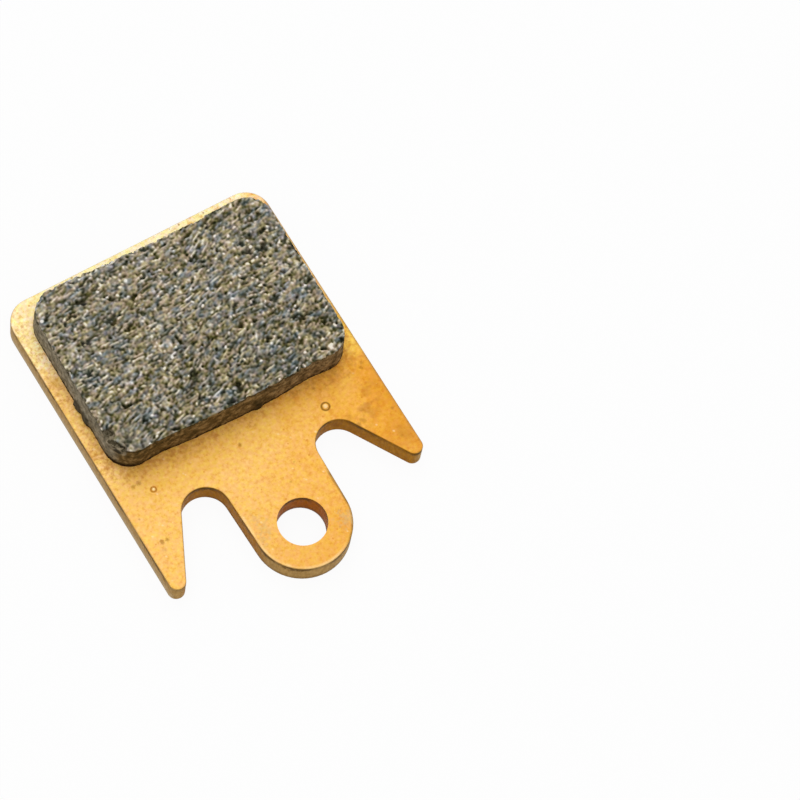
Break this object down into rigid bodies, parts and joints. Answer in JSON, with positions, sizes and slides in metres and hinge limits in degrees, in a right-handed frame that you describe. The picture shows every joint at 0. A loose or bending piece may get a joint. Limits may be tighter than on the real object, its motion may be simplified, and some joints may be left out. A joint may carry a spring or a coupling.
{
  "type": "bicycle disc brake pad",
  "caption": "Disc brake pad: a flat steel plate with a pin-hole tab between pointed horns carries a raised rectangular friction block that presses on a bicycle's rotor.",
  "frame": {"origin": "centre of the retaining pin's hole, on the plate's back face", "axes": "+X across the plate, +Y from the tab to the far edge, +Z out of the friction face towards the rotor"},
  "size_m": [0.0216, 0.0285, 0.0047],
  "materials": {
    "plated_steel": "gold plated front and edges, silver paint on the back, satin",
    "friction_compound": "rough semi-metallic compound with brass flecks"
  },
  "bodies": {
    "root": {"backing_plate": "plated_steel", "friction_block": "friction_compound"}
  },
  "joints": []
}
